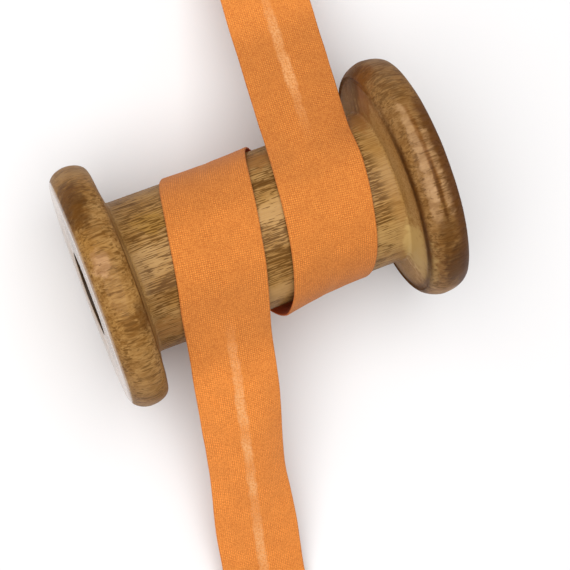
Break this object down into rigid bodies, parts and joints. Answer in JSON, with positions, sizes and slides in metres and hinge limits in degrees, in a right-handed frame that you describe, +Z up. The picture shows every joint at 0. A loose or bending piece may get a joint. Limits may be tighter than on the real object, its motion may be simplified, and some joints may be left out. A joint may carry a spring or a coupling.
{
  "type": "wooden spool with bias binding",
  "caption": "Turned wooden spool with a centre bore, carrying one strip of folded cotton bias binding that wraps the barrel and ends loose on both sides.",
  "frame": {"origin": "on the table, under the middle of the spool, which is also the middle of the whole object seen from above", "axes": "+X along the spool's axis, from the end whose face shows in the picture; +Y along the table, the way the upper loose end of the binding runs; +Z up from the table"},
  "size_m": [0.1028, 0.2836, 0.0718],
  "materials": {
    "varnished_wood": "satin varnish over open straight grain with dark flecks",
    "orange_cotton": "matt fine plain weave cut on the bias"
  },
  "bodies": {
    "root": {"wooden_spool": "varnished_wood", "bias_binding": "orange_cotton"}
  },
  "joints": []
}
